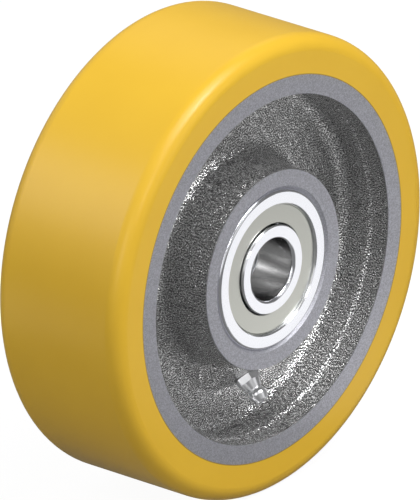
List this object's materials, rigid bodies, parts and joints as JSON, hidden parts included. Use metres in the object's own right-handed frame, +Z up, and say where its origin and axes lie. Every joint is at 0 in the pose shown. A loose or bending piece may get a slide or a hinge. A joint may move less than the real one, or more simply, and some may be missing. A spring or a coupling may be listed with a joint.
{
  "type": "castor wheel",
  "caption": "Heavy-duty castor wheel: cast-iron centre with a bonded yellow elastomer tread, ball bearings, a plain bore and a grease nipple.",
  "frame": {"origin": "centre of the wheel: on the bore's axis, midway between the two faces", "axes": "Y along the axle, -Y out of the face with the grease nipple; +Z up, the nipple hangs at -Z"},
  "size_m": [0.15, 0.05, 0.15],
  "materials": {
    "tread_plastic": "cast polyurethane, smooth, satin, honey yellow",
    "cast_grey": "rough as cast with a grey metallic coat, faces turned",
    "bearing_steel": "ground and polished",
    "shield_sheet": "pressed sheet, matt",
    "cage_sheet": "pressed sheet, oiled",
    "plated_steel": "bright zinc plate",
    "spring_steel": "drawn wire",
    "spacer_steel": "drawn tube"
  },
  "bodies": {
    "inner_rings": {"front_inner_ring": "bearing_steel", "rear_inner_ring": "bearing_steel", "spacer_tube": "spacer_steel"},
    "wheel": {"tread": "tread_plastic", "wheel_core": "cast_grey", "grease_nipple": "plated_steel", "valve_spring": "spring_steel", "front_outer_ring": "bearing_steel", "front_shield": "shield_sheet", "rear_outer_ring": "bearing_steel", "rear_shield": "shield_sheet"},
    "front_ball_set": {"front_cage_outboard": "cage_sheet", "front_cage_inboard": "cage_sheet", "front_cage_rivets": "cage_sheet", "front_ball_1": "bearing_steel", "front_ball_2": "bearing_steel", "front_ball_3": "bearing_steel", "front_ball_4": "bearing_steel", "front_ball_5": "bearing_steel", "front_ball_6": "bearing_steel", "front_ball_7": "bearing_steel"},
    "rear_ball_set": {"rear_cage_outboard": "cage_sheet", "rear_cage_inboard": "cage_sheet", "rear_cage_rivets": "cage_sheet", "rear_ball_1": "bearing_steel", "rear_ball_2": "bearing_steel", "rear_ball_3": "bearing_steel", "rear_ball_4": "bearing_steel", "rear_ball_5": "bearing_steel", "rear_ball_6": "bearing_steel", "rear_ball_7": "bearing_steel"},
    "nipple_valve": {"check_ball": "bearing_steel"}
  },
  "joints": [
    {"name": "wheel_spin", "type": "hinge", "parent": "inner_rings", "child": "wheel", "pos_m": [0, 0, 0], "axis": [0, 1, 0], "continuous": true},
    {"name": "front_ball_set_spin", "type": "hinge", "parent": "inner_rings", "child": "front_ball_set", "pos_m": [0, -0.0175, 0], "axis": [0, 1, 0], "continuous": true},
    {"name": "rear_ball_set_spin", "type": "hinge", "parent": "inner_rings", "child": "rear_ball_set", "pos_m": [0, 0.0175, 0], "axis": [0, 1, 0], "continuous": true},
    {"name": "check_valve", "type": "slide", "parent": "wheel", "child": "nipple_valve", "axis": [0, 0.7071, 0.7071], "range_m": [0, 0.0008], "stiffness_N_per_m": 300, "springref_m": -0.002, "deforming": ["valve_spring"]}
  ],
  "couplings": [
    {"joint": "front_ball_set_spin", "follows": "wheel_spin", "ratio": 0.63229},
    {"joint": "rear_ball_set_spin", "follows": "wheel_spin", "ratio": 0.63229}
  ]
}
